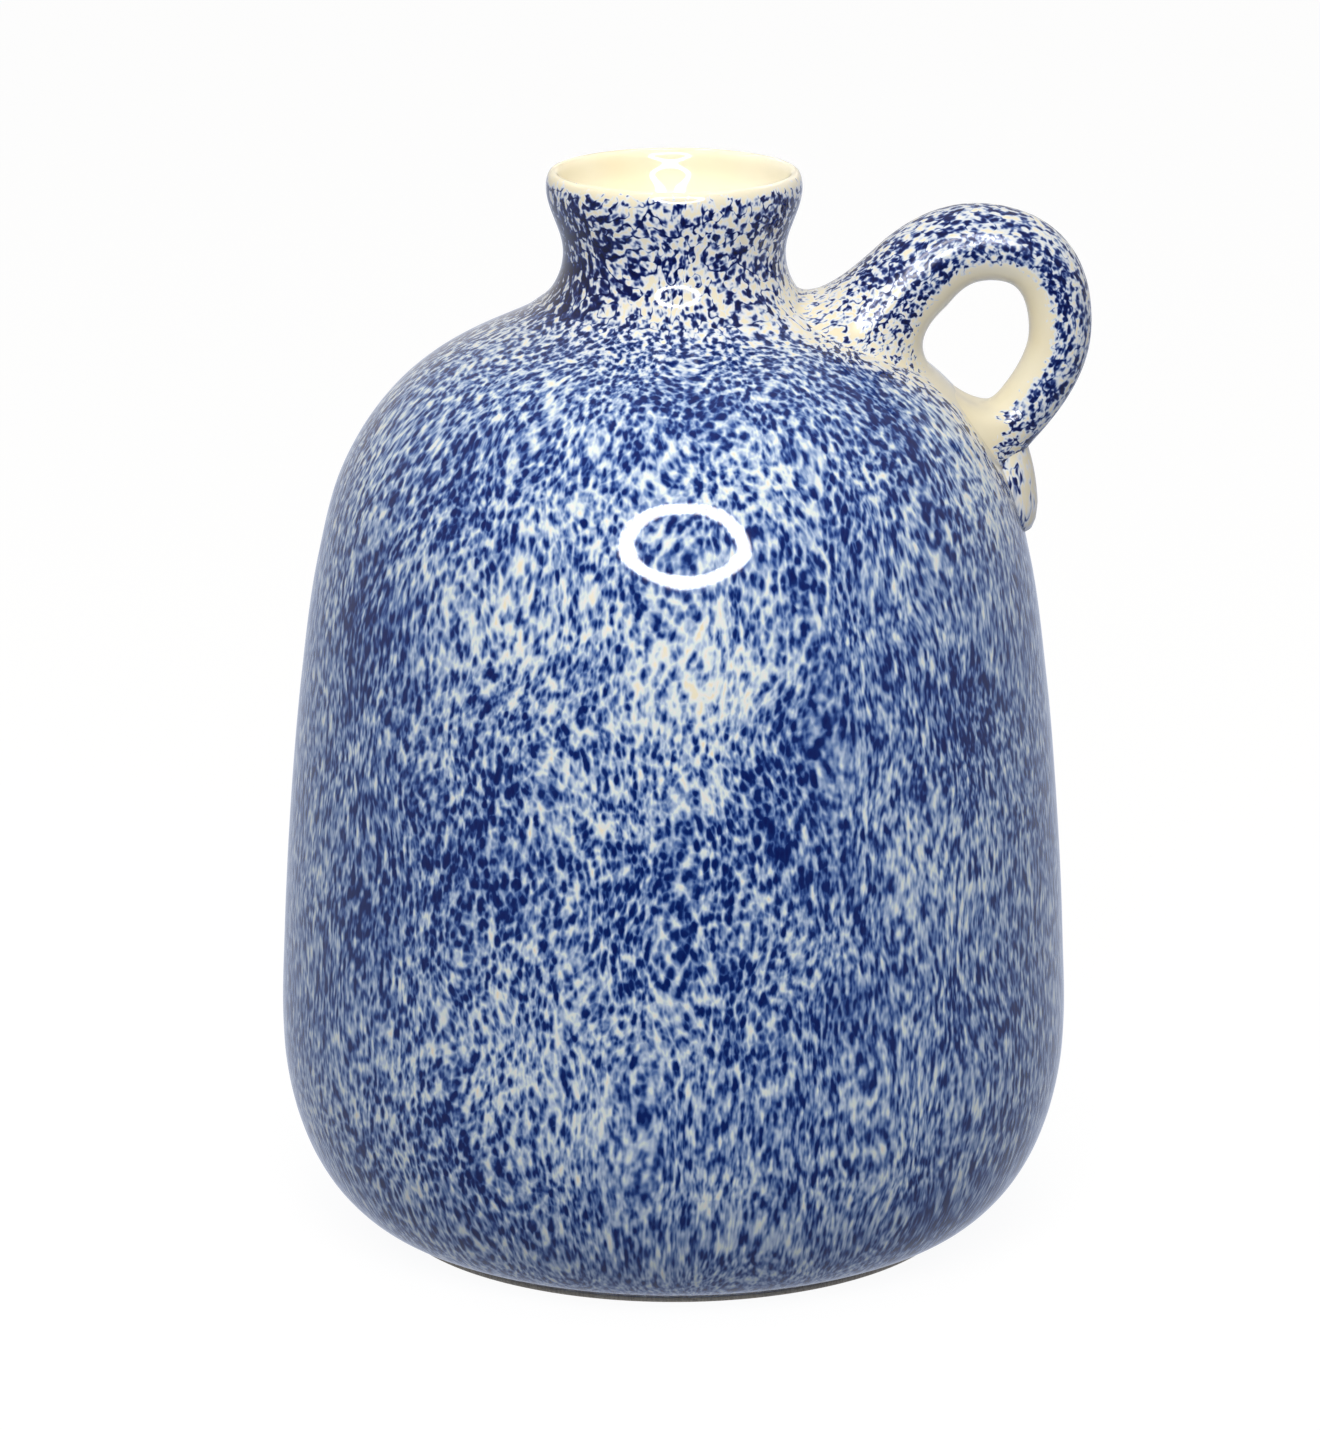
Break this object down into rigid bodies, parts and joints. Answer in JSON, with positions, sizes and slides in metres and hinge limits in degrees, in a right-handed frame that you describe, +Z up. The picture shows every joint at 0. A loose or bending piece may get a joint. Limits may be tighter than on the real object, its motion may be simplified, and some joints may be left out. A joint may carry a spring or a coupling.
{
  "type": "ceramic pitcher",
  "caption": "Round-bellied stoneware pitcher with a narrow flared neck, a small loop handle at the shoulder and a bare foot ring, sponged all over in blue on cream.",
  "frame": {"origin": "on the axis of the round body, in the plane that the foot ring stands on", "axes": "+Z up along the body's axis towards the mouth, +X towards the handle, whose loop lies in the XZ plane"},
  "size_m": [0.1733, 0.17, 0.23],
  "materials": {
    "bare_clay": "unglazed fired clay, matte, fine grain",
    "cream_glaze": "plain cream glaze, glossy",
    "sponged_body_glaze": "cream ground sponged with cobalt blue dashes under clear glaze, glossy; cream inside",
    "sponged_neck_glaze": "cream ground with curly cobalt marks under clear glaze, glossy; cream lip and inside",
    "sponged_handle_glaze": "cream ground with cobalt marks on the outer side, plain cream on the inner side, glossy",
    "cream_tail_glaze": "cream glaze with a few dark specks, glossy"
  },
  "bodies": {
    "root": {"foot_ring": "bare_clay", "floor": "cream_glaze", "body": "sponged_body_glaze", "neck": "sponged_neck_glaze", "upper_root": "sponged_handle_glaze", "handle": "sponged_handle_glaze", "lower_root": "sponged_handle_glaze", "tail": "cream_tail_glaze"}
  },
  "joints": []
}
